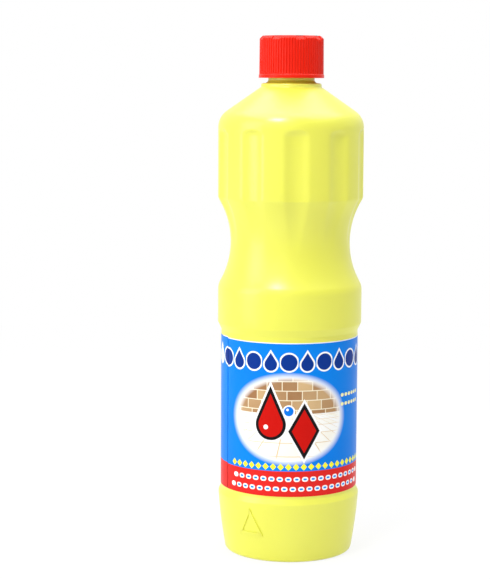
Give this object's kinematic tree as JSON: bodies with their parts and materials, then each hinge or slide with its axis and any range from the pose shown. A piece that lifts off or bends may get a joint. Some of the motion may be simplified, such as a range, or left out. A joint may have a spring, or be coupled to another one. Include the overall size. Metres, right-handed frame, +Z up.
{
  "type": "bleach bottle",
  "caption": "Waisted household bottle with a fluted band, wrap-around label and push-and-turn screw cap.",
  "frame": {"origin": "centre of the circle that the standing ring rests on", "axes": "+Z up along the bottle's axis; the front of the label faces -Y; +X is to its right"},
  "size_m": [0.08, 0.08, 0.2857],
  "materials": {
    "bottle_yellow": "satin blow-moulded polyethylene",
    "label_film": "printed gloss film",
    "cap_red": "satin moulded polypropylene",
    "inner_cap_white": "natural moulded polypropylene",
    "liner_foam": "foamed sealing wad"
  },
  "bodies": {
    "bottle": {"bottle": "bottle_yellow", "label": "label_film"},
    "liner": {"cap_liner": "liner_foam"},
    "inner_cap": {"inner_cap": "inner_cap_white"},
    "cap_shell": {"cap_shell": "cap_red"}
  },
  "joints": [
    {"name": "cap_lift", "type": "slide", "parent": "bottle", "child": "liner", "axis": [0, 0, 1], "range_m": [0, 0.00847]},
    {"name": "cap_turn", "type": "hinge", "parent": "liner", "child": "inner_cap", "pos_m": [0, 0, 0.27], "axis": [0, 0, 1], "range_deg": [0, 720]},
    {"name": "cap_push", "type": "slide", "parent": "inner_cap", "child": "cap_shell", "axis": [0, 0, 1], "range_m": [-0.0015, 0], "stiffness_N_per_m": 8000, "springref_m": 0.001}
  ],
  "couplings": [
    {"joint": "cap_lift", "follows": "cap_turn", "m_per_rad": 0.0006737}
  ]
}
